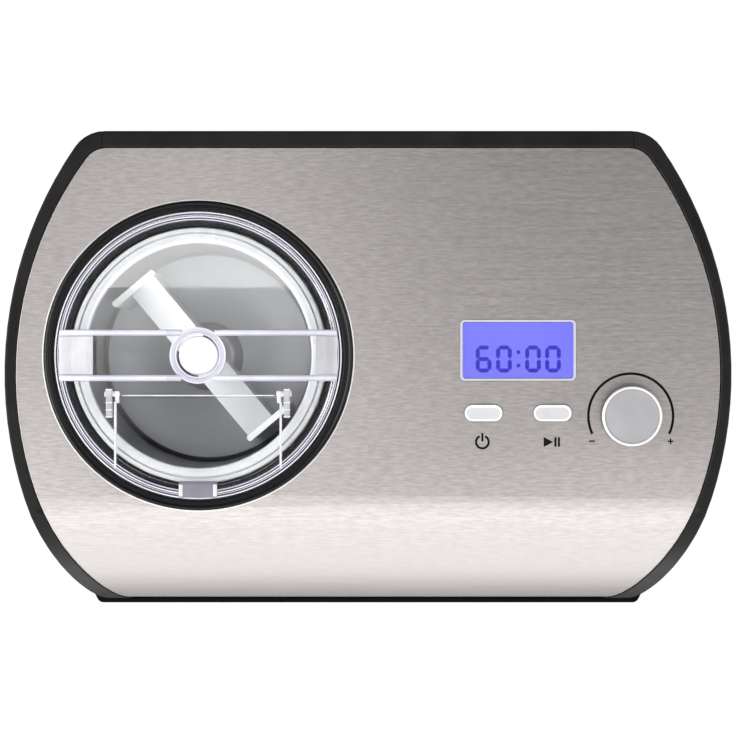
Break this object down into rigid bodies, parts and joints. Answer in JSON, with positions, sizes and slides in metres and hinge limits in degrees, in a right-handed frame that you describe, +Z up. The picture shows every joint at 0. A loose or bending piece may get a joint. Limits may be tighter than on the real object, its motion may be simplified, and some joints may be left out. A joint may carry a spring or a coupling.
{
  "type": "ice cream maker",
  "caption": "Countertop self-cooling ice cream maker: removable bowl under a clear lid with a paddle, display, buttons and knob on a bowed steel top.",
  "frame": {"origin": "on the floor under the centre of the bounding box", "axes": "+X to the right of the machine, along its longest side; +Y to the rear; +Z up"},
  "size_m": [0.4, 0.2728, 0.227],
  "materials": {
    "base": "black moulded ABS, fine satin texture",
    "rubber": "black moulded rubber",
    "screw": "zinc plated steel",
    "side_panels": "black moulded ABS, satin",
    "rear_panel": "black moulded ABS, satin",
    "steel_cover": "stainless steel brushed left to right",
    "chassis": "grey moulded ABS",
    "bezel": "black semi gloss plastic",
    "bowl": "satin anodised aluminium",
    "bowl_ring": "white gloss plastic",
    "lid": "clear gloss plastic",
    "paddle": "white moulded plastic",
    "chamber": "plain aluminium",
    "foam": "poured polyurethane foam",
    "copper": "bare copper tube",
    "compressor": "black painted pressed steel",
    "fan": "black glass filled nylon",
    "gear": "natural acetal",
    "shaft": "turned steel",
    "motor": "zinc plated can",
    "bearing": "sintered bronze",
    "display_frame": "white plastic",
    "display_window": "clear acrylic",
    "display_screen": "backlit liquid crystal",
    "button": "white gloss plastic",
    "knob": "grey satin face with a chrome edge",
    "switch": "black plastic",
    "circuit_board": "green solder mask"
  },
  "bodies": {
    "root": {"base_tray": "base", "rubber_foot_1": "rubber", "rubber_foot_2": "rubber", "rubber_foot_3": "rubber", "rubber_foot_4": "rubber", "base_screw_1": "screw", "base_screw_2": "screw", "base_screw_3": "screw", "base_screw_4": "screw", "side_panel_left": "side_panels", "side_panel_right": "side_panels", "rear_panel": "rear_panel", "mains_cord_gland": "rubber", "top_front_cover": "steel_cover", "inner_chassis": "chassis", "bowl_bezel": "bezel", "cooling_chamber": "chamber", "chamber_seal": "rubber", "chamber_insulation": "foam", "evaporator_coil": "copper", "compressor": "compressor", "compressor_grommet_1": "rubber", "compressor_grommet_2": "rubber", "compressor_grommet_3": "rubber", "condenser": "chamber", "fan_shroud": "fan", "suction_pipe": "copper", "discharge_pipe": "copper", "capillary_tube": "copper", "filter_drier": "copper", "drive_motor": "motor", "gearbox_housing": "chassis", "gearbox_cover": "chassis", "lower_bearing": "bearing", "upper_bearing": "bearing", "display_frame": "display_frame", "display_window": "display_window", "display_module": "display_screen", "tact_switch_1": "switch", "tact_switch_2": "switch", "rotary_encoder": "switch", "control_board": "circuit_board", "power_board": "circuit_board"},
    "drive": {"drive_shaft": "shaft", "drive_gear": "gear"},
    "motor_rotor": {"motor_pinion": "shaft"},
    "fan": {"fan_rotor": "fan"},
    "bowl": {"freezer_bowl": "bowl", "bowl_rim_ring": "bowl_ring"},
    "paddle": {"mixing_paddle": "paddle"},
    "lid": {"clear_lid": "lid"},
    "flap": {"fill_flap": "lid"},
    "power_button": {"power_button": "button"},
    "start_button": {"start_pause_button": "button"},
    "knob": {"control_knob": "knob"}
  },
  "joints": [
    {"name": "drive_spin", "type": "hinge", "parent": "root", "child": "drive", "pos_m": [-0.0933, 0.0129, 0.05], "axis": [0, 0, 1], "continuous": true},
    {"name": "motor_spin", "type": "hinge", "parent": "root", "child": "motor_rotor", "pos_m": [-0.0483, 0.0129, 0.05], "axis": [0, 0, 1], "continuous": true},
    {"name": "fan_spin", "type": "hinge", "parent": "root", "child": "fan", "pos_m": [0.09, 0.1, 0.076], "axis": [0, 1, 0], "continuous": true},
    {"name": "bowl_lift", "type": "slide", "parent": "root", "child": "bowl", "axis": [0, 0, 1], "range_m": [0, 0.14]},
    {"name": "paddle_spin", "type": "hinge", "parent": "bowl", "child": "paddle", "pos_m": [-0.0933, 0.0129, 0.15], "axis": [0, 0, 1], "continuous": true},
    {"name": "lid_lift", "type": "slide", "parent": "bowl", "child": "lid", "axis": [0, 0, 1], "range_m": [0, 0.14]},
    {"name": "flap_hinge", "type": "hinge", "parent": "lid", "child": "flap", "pos_m": [-0.0933, -0.0083, 0.2166], "axis": [-1, 0, 0], "range_deg": [0, 100]},
    {"name": "power_press", "type": "slide", "parent": "root", "child": "power_button", "axis": [0, 0, -1], "range_m": [0, 0.0015], "stiffness_N_per_m": 300, "springref_m": -0.002},
    {"name": "start_press", "type": "slide", "parent": "root", "child": "start_button", "axis": [0, 0, -1], "range_m": [0, 0.0015], "stiffness_N_per_m": 300, "springref_m": -0.002},
    {"name": "knob_turn", "type": "hinge", "parent": "root", "child": "knob", "pos_m": [0.1445, -0.0204, 0.22], "axis": [0, 0, 1], "continuous": true}
  ],
  "couplings": [
    {"joint": "motor_spin", "follows": "drive_spin", "ratio": -3},
    {"joint": "paddle_spin", "follows": "drive_spin", "ratio": 1}
  ]
}
